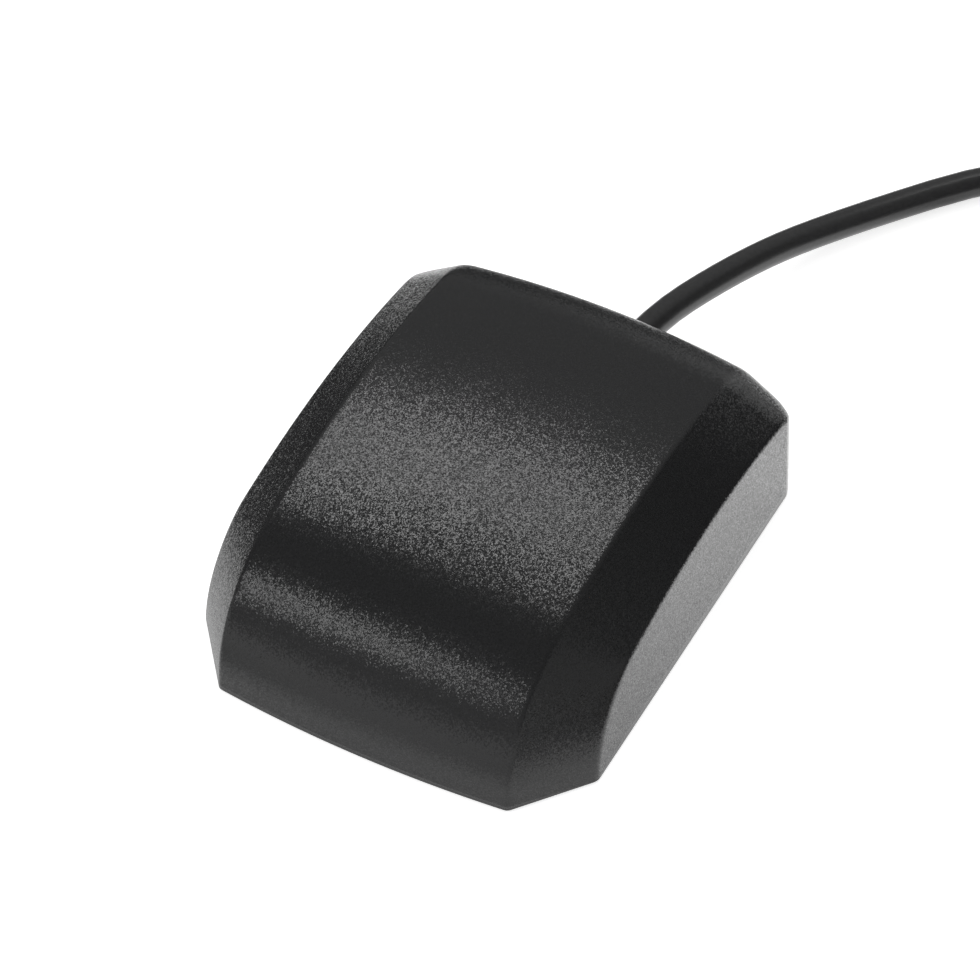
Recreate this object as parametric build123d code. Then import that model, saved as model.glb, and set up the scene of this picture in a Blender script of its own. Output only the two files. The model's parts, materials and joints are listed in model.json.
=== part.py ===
from build123d import *
import os
from math import atan2, cos, pi, radians, sin, tan

os.makedirs("parts", exist_ok=True)

# A small stick-down satellite antenna with a thin lead and a screw-on coaxial plug. Millimetres.
# Origin: middle of the housing, on the surface it stands on. +X is its width and +Z is up.
# The low front looks along -Y, and the lead leaves the upright rear wall along +Y.

# Housing outside
BODY_LENGTH = 48.0
BODY_WIDTH = 39.0
BODY_HEIGHT = 16.9
SLOPE_WIDTH = 5.3           # of the sloped faces beside the two long ridges
CROWN = 0.8                 # bulge of front, top and rear between the ridges
RIM_GAP = 0.2               # the cover's rim above the surface, the pad touches it
FRONT_RISE = 2.1            # straight stretch above the rim
BROW_RADIUS = 19.0          # where the front turns into the top
REAR_RADIUS = 11.0
REAR_EDGE_RADIUS = 5.2
FRONT_CORNER_DEPTH = 6.55   # how far the sloped faces cut into front, rear and top
REAR_CORNER_DEPTH = 0.25
REAR_CORNER_RADIUS = 3.6    # upright corners between rear wall and side walls
TOP_CORNER_DROP = 4.5
SIDE_RISE = 0.3
SIDE_BROW_RADIUS = 4.6
SIDE_REAR_RADIUS = 8.0
SIDE_REAR_EDGE_RADIUS = 2.6
SIDE_DRAFT = 2.6            # degrees
RIDGE_DRAFT = 0.8

# Headings of the lengthwise outline, in degrees above level, from the front rim to the rear wall
FRONT_HEADING = 87.0
BROW_HEADING = 30.0
TOP_HEADING = 14.0
TAIL_HEADING = -10.0
EDGE_HEADING = -35.0
REAR_HEADING = -90.0

# Walls, seams and clearances
WALL = 1.8
SKIRT_WALL = 1.0            # thinner wall round the base plate, up to the gasket's ledge
FIT = 0.15                  # between parts that drop into each other
RUNNING_GAP = 0.08          # between the nut and what it turns on

# Base, pad and magnet
BASE_THICKNESS = 2.2
PAD_THICKNESS = 0.6
PAD_MARGIN = 2.6            # base plate left bare round the pad
MAGNET_DIAMETER = 20.0
MAGNET_THICKNESS = 3.0
CUP_WALL = 0.9
GASKET_THICKNESS = 0.8
GASKET_WIDTH = 0.9

# Case screws, driven from below under the pad
SCREW_DIAMETER = 1.9
SCREW_LENGTH = 5.6
HEAD_DIAMETER = 3.6
HEAD_HEIGHT = 1.0
HEAD_SEAT = 0.7             # base left under each head
BOSS_DIAMETER = 3.8
SCREW_SIDE_INSET = 4.2      # from the housing's outside
SCREW_FRONT_INSET = 11.5
SCREW_REAR_INSET = 7.0

# Circuit board and its parts. The board keeps its margins to the housing's outside.
BOARD_SIDE_MARGIN = 6.4
BOARD_FRONT_MARGIN = 11.5
BOARD_REAR_MARGIN = 6.5
BOARD_THICKNESS = 0.8
POST_DIAMETER = 2.2
POST_INSET_X = 1.3
POST_INSET_Y = 1.15
PATCH_SIDE_MARGIN = 0.6     # board left bare round the square tile, at least
PATCH_END_MARGIN = 2.5
PATCH_TOP_MARGIN = 4.7      # below the highest point of the housing
PATCH_CHAMFER = 1.6
TAPE_THICKNESS = 0.2
RADIATOR_MARGIN = 2.2
RADIATOR_THICKNESS = 0.1
RADIATOR_CORNER = 2.4
FEED_OFFSET = 2.6
FEED_DIAMETER = 0.8
FEED_HEAD_DIAMETER = 1.9
FEED_HEAD_HEIGHT = 0.4
CAN_SIDE_MARGIN = 3.6       # board left bare round the shield can
CAN_FRONT_MARGIN = 3.5
CAN_REAR_MARGIN = 7.5       # room for the lead's joints
CAN_HEIGHT = 2.2
CAN_WALL = 0.25
CAN_GAP = 0.35              # over the magnet's cup
CHIP_SIZE = 1.6
CHIP_HEIGHT = 0.6
FILTER_SIZE = 3.0
FILTER_HEIGHT = 1.1
REGULATOR_SIZE = (2.9, 1.6)
REGULATOR_HEIGHT = 1.0
SMALL_PART_SIZE = (1.0, 0.5)
SMALL_PART_HEIGHT = 0.45
SMALL_PART_COUNT = 6

# Lead: 2.8 mm coaxial cable, stripped in steps where it meets the board
CORD_DIAMETER = 2.8
CORD_LENGTH = 3000.0
BRAID_DIAMETER = 2.2
CORE_INSULATION_DIAMETER = 1.5
CORE_DIAMETER = 0.5
JACKET_END_INSET = 5.8      # from the rear wall's outside
EXIT_STRAIGHT = 3.6         # lead that runs straight out of the rear wall
EXIT_X = 0.5                # the lead leaves a little right of the middle
BRAID_BARE = 2.2
INSULATION_BARE = 0.9
CORE_BARE = 0.9
SOLDER_GAP = 0.15           # solder between the braid and the board
GROMMET_NECK_DIAMETER = 4.1
GROMMET_FLANGE_DIAMETER = 5.4
GROMMET_FLANGE_THICKNESS = 0.9
GROMMET_TAIL_LENGTH = 1.2
GROMMET_TAIL_DIAMETER = 3.6

# Stored length: a flat-wound ring on its ties
COIL_X = 60.5
COIL_Y = 43.0
COIL_RADIUS = 22.8          # at the middle of its turns
COIL_COLUMNS = 4
COIL_ROWS = 5
COIL_ENTRY_ANGLE = 90.0
COIL_EXIT_ANGLE = 0.0
COIL_EXIT_ROW = 3           # counted from the lowest, which is 0
TIE_THICKNESS = 0.5
TIE_WIDTH = 5.0
TIE_ANGLES = (55.0, 235.0)
TIE_TAIL_LENGTH = 4.0

# Plug, lying level on one flat of its nut and pointing along -Y
PLUG_X = 76.0
PLUG_REAR_Y = -2.5          # rear end of the crimp sleeve
SLEEVE_LENGTH = 9.0
SLEEVE_WALL = 0.6
JACKET_IN_SLEEVE = 1.5
SHRINK_WALL = 0.45
SHRINK_REAR = 6.6           # length over the cable
SHRINK_FRONT = 8.4          # length over the sleeve
COLLAR_DIAMETER = 6.4
COLLAR_LENGTH = 2.2
NECK_DIAMETER = 4.9
NECK_LENGTH = 4.0
SHOULDER_DIAMETER = 5.3
SHOULDER_LENGTH = 0.7
SHELL_DIAMETER = 4.6
SHELL_WALL = 0.25
SHELL_LENGTH = 3.0
PLUG_BORE_DIAMETER = 1.52
PLUG_PIN_DIAMETER = 0.92
PLUG_PIN_REACH = 1.6        # pin beyond its insulator
INSULATOR_FRONT = 1.9       # shell left open in front of the insulator
RING_THICKNESS = 0.6
RING_DEPTH = 0.4
RING_PROUD = 0.35
RING_OFFSET = 1.5
RING_SLOT = 50.0            # degrees
SEAL_THICKNESS = 0.7
SEAL_WIDTH = 0.4
NUT_FLATS = 8.0
NUT_LENGTH = 8.3
NUT_BORE_DIAMETER = 5.75    # thread crests
NUT_LIP = 3.4               # from the nut's rear face to its threaded bore
NUT_CHAMFER = 0.35

# Places that follow from the housing's size
TOP_WIDTH = BODY_WIDTH - 2 * SLOPE_WIDTH
SCREW_X = BODY_WIDTH / 2 - SCREW_SIDE_INSET
SCREW_FRONT_Y = SCREW_FRONT_INSET - BODY_LENGTH / 2
SCREW_REAR_Y = BODY_LENGTH / 2 - SCREW_REAR_INSET
BOARD_WIDTH = BODY_WIDTH - 2 * BOARD_SIDE_MARGIN
BOARD_LENGTH = BODY_LENGTH - BOARD_FRONT_MARGIN - BOARD_REAR_MARGIN
BOARD_Y = (BOARD_FRONT_MARGIN - BOARD_REAR_MARGIN) / 2
PATCH_SIZE = min(BOARD_WIDTH - 2 * PATCH_SIDE_MARGIN, BOARD_LENGTH - 2 * PATCH_END_MARGIN)
RADIATOR_SIZE = PATCH_SIZE - 2 * RADIATOR_MARGIN
CAN_WIDTH = BOARD_WIDTH - 2 * CAN_SIDE_MARGIN
CAN_LENGTH = BOARD_LENGTH - CAN_FRONT_MARGIN - CAN_REAR_MARGIN
CAN_Y = BOARD_Y + (CAN_FRONT_MARGIN - CAN_REAR_MARGIN) / 2
JACKET_END_Y = BODY_LENGTH / 2 - JACKET_END_INSET

# Heights that stack on each other
BASE_TOP = RIM_GAP + BASE_THICKNESS
LEDGE_HEIGHT = BASE_TOP + GASKET_THICKNESS
CUP_TOP = PAD_THICKNESS + MAGNET_THICKNESS + FIT + CUP_WALL
BOARD_HEIGHT = CUP_TOP + CAN_GAP + CAN_HEIGHT
BOARD_TOP = BOARD_HEIGHT + BOARD_THICKNESS
PATCH_BASE = BOARD_TOP + TAPE_THICKNESS
PATCH_TOP = BODY_HEIGHT - PATCH_TOP_MARGIN
CORD_RADIUS = CORD_DIAMETER / 2
EXIT_HEIGHT = BOARD_HEIGHT - SOLDER_GAP - BRAID_DIAMETER / 2

SLOPE_ANGLE = atan2(TOP_CORNER_DROP, SLOPE_WIDTH)


# Rise and run of an arc of the given radius, from one heading to the next
def arc_rise(radius, start, end):
    return radius * (cos(radians(end)) - cos(radians(start)))


def arc_run(radius, start, end):
    return radius * (sin(radians(start)) - sin(radians(end)))


# Radii of one lengthwise outline. The front arc takes up its height and the top arc its length.
def outline_radii(length, height, rise, brow, rear, edge):
    top_span = arc_run(1, TOP_HEADING, TAIL_HEADING)
    others_run = rise / tan(radians(FRONT_HEADING)) + arc_run(brow, BROW_HEADING, TOP_HEADING)
    others_run += arc_run(rear, TAIL_HEADING, EDGE_HEADING) + arc_run(edge, EDGE_HEADING, REAR_HEADING)
    front_rise = arc_rise(1, FRONT_HEADING, BROW_HEADING)
    front_run = arc_run(1, FRONT_HEADING, BROW_HEADING)
    top_rise = arc_rise(1, TOP_HEADING, 0)
    height_left = height - rise - arc_rise(brow, BROW_HEADING, TOP_HEADING)
    length_left = length - others_run
    # front_rise * front + top_rise * top = height_left, front_run * front + top_span * top = length_left
    determinant = front_rise * top_span - top_rise * front_run
    front = (height_left * top_span - top_rise * length_left) / determinant
    top = (front_rise * length_left - front_run * height_left) / determinant
    return [front, brow, top, rear, edge]


RIDGE_LENGTH = BODY_LENGTH - 2 * CROWN
RIDGE_HEIGHT = BODY_HEIGHT - CROWN - RIM_GAP
RIDGE_RADII = outline_radii(
    RIDGE_LENGTH, RIDGE_HEIGHT, FRONT_RISE, BROW_RADIUS, REAR_RADIUS, REAR_EDGE_RADIUS
)
SIDE_RADII = outline_radii(
    RIDGE_LENGTH - FRONT_CORNER_DEPTH - REAR_CORNER_DEPTH,
    RIDGE_HEIGHT - TOP_CORNER_DROP,
    SIDE_RISE,
    SIDE_BROW_RADIUS,
    SIDE_REAR_RADIUS,
    SIDE_REAR_EDGE_RADIUS,
)
HEADINGS = [FRONT_HEADING, BROW_HEADING, TOP_HEADING, TAIL_HEADING, EDGE_HEADING, REAR_HEADING]


# A closed lengthwise section in the plane at x, leaning in by draft degrees, moved out by grow
def section(x, draft, start_y, rise, radii, grow):
    lean = radians(draft) * (1 if x > 0 else -1)
    plane = Plane(origin=(x, 0, RIM_GAP), x_dir=(0, 1, 0), z_dir=(cos(lean), 0, sin(lean)))
    heading = radians(FRONT_HEADING)
    start = Vector(start_y - grow / sin(heading), 0)
    line = rise + grow / tan(heading)
    along = Vector(cos(heading), sin(heading))
    edges = [Line(start, start + along * line)]
    for radius, here, after in zip(radii, HEADINGS, HEADINGS[1:]):
        end = edges[-1] @ 1
        tangent = (cos(radians(here)), sin(radians(here)))
        edges.append(JernArc(end, tangent, radius + grow, after - here))
    corner = edges[-1] @ 1
    edges.append(Line(corner, (corner.X, 0)))
    edges.append(Line((corner.X, 0), start))
    return plane * make_face(Wire(edges))


# Upright prism with the two rounded rear corners. It leans in with the side walls.
def corner_prism(ridge_x, side_x, ridge_rear, side_rear, radius):
    slices = []
    for height in (0, BODY_HEIGHT):
        x = side_x - (height - RIM_GAP) * tan(radians(SIDE_DRAFT))
        half = [(x, -BODY_LENGTH), (x, side_rear), (ridge_x, ridge_rear), (ridge_x, BODY_LENGTH)]
        outline = make_face(Polyline(half + [(-i, j) for i, j in reversed(half)], close=True))
        corners = outline.vertices().filter_by_position(Axis.Y, side_rear - FIT, side_rear + FIT)
        slices.append(Pos(0, 0, height) * fillet(corners, radius))
    return loft(slices, ruled=True)


# The housing's form, inside a wall of the given thickness
def body_form(inset):
    ridge_x = TOP_WIDTH / 2 - inset * tan(SLOPE_ANGLE / 2)
    side_x = BODY_WIDTH / 2 - inset
    side_inset = inset * tan(pi / 4 - SLOPE_ANGLE / 2)
    front = -RIDGE_LENGTH / 2

    def ridge(x, crown):
        draft = RIDGE_DRAFT if x else 0
        return section(x, draft, front, FRONT_RISE, RIDGE_RADII, crown - inset)

    side = section(side_x, SIDE_DRAFT, front + FRONT_CORNER_DEPTH, SIDE_RISE, SIDE_RADII, -side_inset)
    middle = loft([ridge(-ridge_x, 0), ridge(0, CROWN), ridge(ridge_x, 0)])
    slope = loft([ridge(ridge_x, 0), side], ruled=True)
    ridge_rear = -front - inset
    side_rear = -front - REAR_CORNER_DEPTH - side_inset
    corners = corner_prism(ridge_x, side_x, ridge_rear, side_rear, REAR_CORNER_RADIUS - inset)
    return (middle + slope + mirror(slope, Plane.YZ)) & corners


# A level slice of a form between two heights
def slab(form, low, high):
    middle = (low + high) / 2
    return form & Pos(0, 0, middle) * Box(2 * BODY_WIDTH, 2 * BODY_LENGTH, high - low)


# An upright round bar or a turned ring between two heights
def post(diameter, low, high):
    return Pos(0, 0, low) * Cylinder(diameter / 2, high - low, align=(Align.CENTER, Align.CENTER, Align.MIN))


def tube(outside, inside, low, high):
    return post(outside, low, high) - post(inside, low, high)


# A level block between two heights
def block(width, length, low, high):
    return Pos(0, 0, low) * Box(width, length, high - low, align=(Align.CENTER, Align.CENTER, Align.MIN))


def at_screws(piece):
    places = [(x, y) for x in (-SCREW_X, SCREW_X) for y in (SCREW_FRONT_Y, SCREW_REAR_Y)]
    return [Pos(x, y) * piece for x, y in places]


def at_board_corners(piece):
    x = BOARD_WIDTH / 2 - POST_INSET_X
    y = BOARD_LENGTH / 2 - POST_INSET_Y
    return [Pos(i * x, BOARD_Y + j * y) * piece for i in (-1, 1) for j in (-1, 1)]


# A round bar along the lead's exit line between two distances from the middle of the housing
def exit_bar(diameter, start, end):
    line = Plane(origin=(EXIT_X, start, EXIT_HEIGHT), z_dir=(0, 1, 0))
    return line * Cylinder(diameter / 2, end - start, align=(Align.CENTER, Align.CENTER, Align.MIN))


# Moulded cover: crowned top, sloped long faces, a ledge for the gasket, screw bosses and board ribs
def make_top_cover(form, cavity):
    bosses = [b & form for b in at_screws(post(BOSS_DIAMETER, BASE_TOP, BODY_HEIGHT))]
    ribs = [r & form for r in at_board_corners(post(POST_DIAMETER, BOARD_TOP, BODY_HEIGHT))]
    cover = form - cavity - slab(body_form(SKIRT_WALL), RIM_GAP, LEDGE_HEIGHT)
    cover = cover + bosses + ribs
    cover -= at_screws(post(SCREW_DIAMETER, BASE_TOP, screw_tip() + FIT))
    return cover - exit_bar(GROMMET_NECK_DIAMETER, JACKET_END_Y, BODY_LENGTH)


def head_top():
    return BASE_TOP - HEAD_SEAT


def screw_tip():
    return head_top() + SCREW_LENGTH


# Base plate: dropped into the cover's skirt, recessed below for pad, magnet and screw heads
def make_base_plate():
    plate = slab(body_form(SKIRT_WALL + FIT), RIM_GAP, BASE_TOP)
    plate += post(MAGNET_DIAMETER + 2 * (FIT + CUP_WALL), RIM_GAP, CUP_TOP)
    plate += at_board_corners(post(POST_DIAMETER, RIM_GAP, BOARD_HEIGHT))
    plate -= slab(body_form(PAD_MARGIN - FIT), RIM_GAP, PAD_THICKNESS)
    plate -= post(MAGNET_DIAMETER + 2 * FIT, 0, CUP_TOP - CUP_WALL)
    plate -= at_screws(post(HEAD_DIAMETER + 2 * FIT, 0, head_top()))
    return plate - at_screws(post(SCREW_DIAMETER + 2 * FIT, 0, BASE_TOP))


def make_base_pad():
    return Pos(0, 0, -RIM_GAP) * slab(body_form(PAD_MARGIN), RIM_GAP, RIM_GAP + PAD_THICKNESS)


def make_cover_gasket():
    outer = SKIRT_WALL + FIT
    ring = slab(body_form(outer), BASE_TOP, LEDGE_HEIGHT)
    return ring - slab(body_form(outer + GASKET_WIDTH), BASE_TOP, LEDGE_HEIGHT)


def make_base_magnet():
    disc = post(MAGNET_DIAMETER, PAD_THICKNESS, PAD_THICKNESS + MAGNET_THICKNESS)
    return chamfer(disc.edges().filter_by(GeomType.CIRCLE), MAGNET_THICKNESS / 10)


# Pan-head screws with a cross recess
def make_case_screws():
    head = post(HEAD_DIAMETER, head_top() - HEAD_HEIGHT, head_top())
    head = fillet(head.edges().filter_by(GeomType.CIRCLE).sort_by(Axis.Z)[0], HEAD_HEIGHT / 2)
    slot = Box(HEAD_DIAMETER / 2, HEAD_DIAMETER / 8, HEAD_HEIGHT)
    recess = Pos(0, 0, head_top() - HEAD_HEIGHT) * (slot + Rot(0, 0, 90) * slot)
    shank = post(SCREW_DIAMETER, head_top(), screw_tip())
    shank = chamfer(shank.edges().filter_by(GeomType.CIRCLE).sort_by(Axis.Z)[-1], SCREW_DIAMETER / 4)
    return Compound(at_screws(head - recess + shank))


# Board with the feed hole, under the patch and over the shield can
def feed_place(piece):
    return Pos(0, BOARD_Y - FEED_OFFSET) * piece


def make_circuit_board():
    board = Pos(0, BOARD_Y) * block(BOARD_WIDTH, BOARD_LENGTH, BOARD_HEIGHT, BOARD_TOP)
    board = fillet(board.edges().filter_by(Axis.Z), BOARD_THICKNESS)
    return board - feed_place(post(FEED_DIAMETER, BOARD_HEIGHT, BOARD_TOP))


def make_patch_tape():
    tape = Pos(0, BOARD_Y) * block(PATCH_SIZE, PATCH_SIZE, BOARD_TOP, PATCH_BASE)
    return tape - feed_place(post(FEED_DIAMETER, BOARD_TOP, PATCH_BASE))


# Ceramic tile with one clipped corner
def make_patch_ceramic():
    tile = Pos(0, BOARD_Y) * block(PATCH_SIZE, PATCH_SIZE, PATCH_BASE, PATCH_TOP)
    upright = tile.edges().filter_by(Axis.Z).sort_by(Axis.X)[-2:].sort_by(Axis.Y)
    tile = chamfer(upright[0], PATCH_CHAMFER)
    return tile - feed_place(post(FEED_DIAMETER, PATCH_BASE, PATCH_TOP))


# Fired silver layer on the tile, with two trimmed corners
def make_patch_radiator():
    layer = Pos(0, BOARD_Y) * block(RADIATOR_SIZE, RADIATOR_SIZE, PATCH_TOP, PATCH_TOP + RADIATOR_THICKNESS)
    upright = layer.edges().filter_by(Axis.Z).sort_by(lambda e: (e @ 0).X - (e @ 0).Y)
    layer = chamfer([upright[0], upright[-1]], RADIATOR_CORNER)
    return layer - feed_place(post(FEED_DIAMETER, PATCH_TOP, PATCH_TOP + RADIATOR_THICKNESS))


def make_feed_pin():
    seat = PATCH_TOP + RADIATOR_THICKNESS
    head = post(FEED_HEAD_DIAMETER, seat, seat + FEED_HEAD_HEIGHT)
    head = fillet(head.edges().filter_by(GeomType.CIRCLE).sort_by(Axis.Z)[-1], FEED_HEAD_HEIGHT / 2)
    return feed_place(head + post(FEED_DIAMETER, BOARD_HEIGHT - CAN_WALL, seat))


# Folded tin can over the amplifier, open towards the board
def make_shield_can():
    low = BOARD_HEIGHT - CAN_HEIGHT
    can = block(CAN_WIDTH, CAN_LENGTH, low, BOARD_HEIGHT)
    can = fillet(can.edges().filter_by(Axis.Z), 2 * CAN_WALL)
    inside = block(CAN_WIDTH - 2 * CAN_WALL, CAN_LENGTH - 2 * CAN_WALL, low + CAN_WALL, BOARD_HEIGHT)
    return Pos(0, CAN_Y) * (can - inside)


# A component hanging under the board
def under_board(x, y, width, length, height):
    return Pos(x, y) * block(width, length, BOARD_HEIGHT - height, BOARD_HEIGHT)


def make_amplifier_chips():
    near, far = CAN_Y - CAN_LENGTH / 4, CAN_Y + CAN_LENGTH / 4
    return Compound([under_board(-FILTER_SIZE, y, CHIP_SIZE, CHIP_SIZE, CHIP_HEIGHT) for y in (near, far)])


def make_saw_filter():
    return under_board(-FILTER_SIZE, CAN_Y, FILTER_SIZE, FILTER_SIZE, FILTER_HEIGHT)


def make_regulator():
    return under_board(CAN_WIDTH / 8, CAN_Y + CAN_LENGTH / 4, *REGULATOR_SIZE, REGULATOR_HEIGHT)


def make_chip_parts():
    pitch = CAN_LENGTH / (SMALL_PART_COUNT + 2)
    start = CAN_Y - pitch * (SMALL_PART_COUNT - 1) / 2
    rows = [start + pitch * i for i in range(SMALL_PART_COUNT)]
    x = CAN_WIDTH / 2 - 2 * SMALL_PART_SIZE[0]
    return Compound([under_board(x, y, *SMALL_PART_SIZE, SMALL_PART_HEIGHT) for y in rows])


# Lead inside the housing, stripped in steps
BRAID_END_Y = JACKET_END_Y - BRAID_BARE
INSULATION_END_Y = BRAID_END_Y - INSULATION_BARE
CORE_END_Y = INSULATION_END_Y - CORE_BARE


def make_cable_braid():
    return exit_bar(BRAID_DIAMETER, BRAID_END_Y, JACKET_END_Y)


def make_cable_insulator():
    return exit_bar(CORE_INSULATION_DIAMETER, INSULATION_END_Y, BRAID_END_Y)


def make_cable_core():
    return exit_bar(CORE_DIAMETER, CORE_END_Y, INSULATION_END_Y)


# Solder that ties braid and core to the board's underside
def make_board_solder(braid, core):
    braid_length = BRAID_BARE - 2 * FIT
    braid_joint = Pos(EXIT_X, BRAID_END_Y + BRAID_BARE / 2) * block(
        2 * BRAID_DIAMETER, braid_length, EXIT_HEIGHT, BOARD_HEIGHT
    )
    braid_joint = chamfer(braid_joint.edges().filter_by(Axis.Y).sort_by(Axis.Z)[:2], BRAID_DIAMETER / 3)
    core_joint = Pos(EXIT_X, CORE_END_Y + CORE_BARE / 2) * block(
        2 * CORE_DIAMETER, CORE_BARE - 2 * FIT, EXIT_HEIGHT, BOARD_HEIGHT
    )
    return Compound([braid_joint - braid, core_joint - core])


# Rubber grommet: a neck through the rear wall between two flanges, and a short tapered tail
def make_cable_grommet():
    outside = BODY_LENGTH / 2
    inside = outside - WALL
    neck = GROMMET_NECK_DIAMETER / 2
    flange = GROMMET_FLANGE_DIAMETER / 2
    outer_face = outside + GROMMET_FLANGE_THICKNESS
    inner_face = inside - GROMMET_FLANGE_THICKNESS
    tail_end = outer_face + GROMMET_TAIL_LENGTH
    half = [
        (CORD_RADIUS, inner_face),
        (flange, inner_face),
        (flange, inside - FIT / 2),
        (neck, inside - FIT / 2),
        (neck, outside + FIT / 2),
        (flange, outside + FIT / 2),
        (flange, outer_face),
        (neck, outer_face),
        (GROMMET_TAIL_DIAMETER / 2, tail_end),
        (CORD_RADIUS, tail_end),
    ]
    face = make_face(Polyline([(EXIT_X + x, y, EXIT_HEIGHT) for x, y in half], close=True))
    return revolve(face, Axis((EXIT_X, 0, EXIT_HEIGHT), (0, 1, 0)))


# Lead outside: straight runs joined by tangent arcs, each as large as its two runs allow
def coil_point(angle, row):
    radius = COIL_RADIUS + CORD_DIAMETER * (COIL_COLUMNS - 1) / 2
    height = TIE_THICKNESS + CORD_RADIUS + CORD_DIAMETER * row
    return (COIL_X + radius * cos(radians(angle)), COIL_Y + radius * sin(radians(angle)), height)


PLUG_HEIGHT = NUT_FLATS / 2
RUN_POINTS = [
    (EXIT_X, JACKET_END_Y, EXIT_HEIGHT),
    (EXIT_X, BODY_LENGTH / 2 + EXIT_STRAIGHT, EXIT_HEIGHT),
    (4.4, 40.6, 3.9),
    (8.6, 51.6, 1.5),
    (23.0, 69.8, CORD_RADIUS),
    (37.5, 71.3, CORD_RADIUS),
    (49.5, 70.9, 1.6),
    coil_point(COIL_ENTRY_ANGLE, 0),
]
TAIL_POINTS = [
    coil_point(COIL_EXIT_ANGLE, COIL_EXIT_ROW),
    (87.5, 33.0, 10.0),
    (84.0, 22.0, 7.4),
    (PLUG_X, 11.0, PLUG_HEIGHT),
    (PLUG_X, PLUG_REAR_Y - JACKET_IN_SLEEVE, PLUG_HEIGHT),
]


def bend_radii(points):
    radii = []
    for before, here, after in zip(points, points[1:], points[2:]):
        run_in = Vector(*here) - Vector(*before)
        run_out = Vector(*after) - Vector(*here)
        half_turn = radians(run_in.get_angle(run_out)) / 2
        radii.append(0.45 * min(run_in.length, run_out.length) / tan(half_turn))
    return radii


def cord_tube(name, points):
    radii = bend_radii(points)
    path = FilletPolyline(*points, radius=radii)
    start = Plane(origin=path @ 0, z_dir=path % 0)
    solid = sweep(start * Circle(CORD_RADIUS), path=path)
    print(name, "radii", [round(r, 1) for r in radii], "length", round(path.length, 1))
    print(name, "volume over section times length", round(solid.volume / (pi * CORD_RADIUS**2 * path.length), 4))
    return solid, path.length


def make_cable_coil():
    width = CORD_DIAMETER * COIL_COLUMNS
    height = CORD_DIAMETER * COIL_ROWS
    middle = TIE_THICKNESS + height / 2
    outline = Plane.XZ * Pos(COIL_RADIUS, middle) * RectangleRounded(width, height, 0.9 * CORD_RADIUS)
    return Pos(COIL_X, COIL_Y) * revolve(outline, Axis.Z)


# Flat ties round the ring's section, each with its twisted tail lying on top
def make_coil_ties():
    width = CORD_DIAMETER * COIL_COLUMNS + 2 * FIT
    height = CORD_DIAMETER * COIL_ROWS
    middle = TIE_THICKNESS + height / 2
    outer = RectangleRounded(width + 2 * TIE_THICKNESS, height + 2 * TIE_THICKNESS, 3 * TIE_THICKNESS)
    band = extrude(Plane.XZ * Pos(COIL_RADIUS, middle) * outer, TIE_WIDTH / 2, both=True)
    tail_height = TIE_THICKNESS + height + 1.5 * TIE_THICKNESS
    tail = Pos(COIL_RADIUS, 0, tail_height) * Box(TIE_TAIL_LENGTH, 2 * TIE_THICKNESS, 3 * TIE_THICKNESS)
    tied = band + tail
    ties = [Pos(COIL_X, COIL_Y) * Rot(0, 0, angle) * tied for angle in TIE_ANGLES]
    return ties


# Plug pieces are turned about their own axis, then laid down
PLUG_PLACE = Plane(origin=(PLUG_X, PLUG_REAR_Y, PLUG_HEIGHT), x_dir=(1, 0, 0), z_dir=(0, -1, 0))
COLLAR_START = SLEEVE_LENGTH + FIT
NECK_START = COLLAR_START + COLLAR_LENGTH
SHOULDER_START = NECK_START + NECK_LENGTH
SHELL_START = SHOULDER_START + SHOULDER_LENGTH
SHELL_END = SHELL_START + SHELL_LENGTH
SHELL_INSIDE = SHELL_DIAMETER - 2 * SHELL_WALL
INSULATOR_END = SHELL_END - INSULATOR_FRONT
RING_START = NECK_START + RING_OFFSET
INSULATOR_START = RING_START + 2 * RING_THICKNESS
NUT_START = NECK_START + FIT
NUT_END = NUT_START + NUT_LENGTH


def lay(piece):
    return PLUG_PLACE * piece


def make_crimp_sleeve():
    return lay(tube(CORD_DIAMETER + 2 * SLEEVE_WALL, CORD_DIAMETER, 0, SLEEVE_LENGTH))


def make_heat_shrink():
    cable, sleeve = CORD_RADIUS, CORD_RADIUS + SLEEVE_WALL
    step = SLEEVE_WALL
    half = [
        (cable, -SHRINK_REAR),
        (cable + SHRINK_WALL, -SHRINK_REAR),
        (cable + SHRINK_WALL, -step),
        (sleeve + SHRINK_WALL, 0),
        (sleeve + SHRINK_WALL, SHRINK_FRONT),
        (sleeve, SHRINK_FRONT),
        (sleeve, 0),
        (cable, 0),
    ]
    return lay(revolve(make_face(Plane.XZ * Polyline(half, close=True)), Axis.Z))


# Turned body: crimp barrel, collar, neck with the ring's groove, shoulder and front shell
def make_connector_body():
    body = post(CORD_DIAMETER, JACKET_IN_SLEEVE + FIT, COLLAR_START)
    collar = post(COLLAR_DIAMETER, COLLAR_START, NECK_START)
    body += chamfer(collar.edges().filter_by(GeomType.CIRCLE), COLLAR_LENGTH / 8)
    body += post(NECK_DIAMETER, NECK_START, SHOULDER_START)
    body += post(SHOULDER_DIAMETER, SHOULDER_START, SHELL_START)
    body += post(SHELL_DIAMETER, SHELL_START, SHELL_END)
    groove = NECK_DIAMETER - 2 * RING_DEPTH
    body -= tube(NECK_DIAMETER + 1, groove, RING_START - FIT / 2, RING_START + RING_THICKNESS + FIT / 2)
    body -= post(PLUG_BORE_DIAMETER, 0, SHELL_END)
    return lay(body - post(SHELL_INSIDE, INSULATOR_START, SHELL_END))


def make_plug_dielectric():
    return lay(tube(CORE_INSULATION_DIAMETER, CORE_DIAMETER, JACKET_IN_SLEEVE, NECK_START))


def make_plug_insulator():
    return lay(tube(SHELL_INSIDE, PLUG_PIN_DIAMETER, INSULATOR_START, INSULATOR_END))


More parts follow.
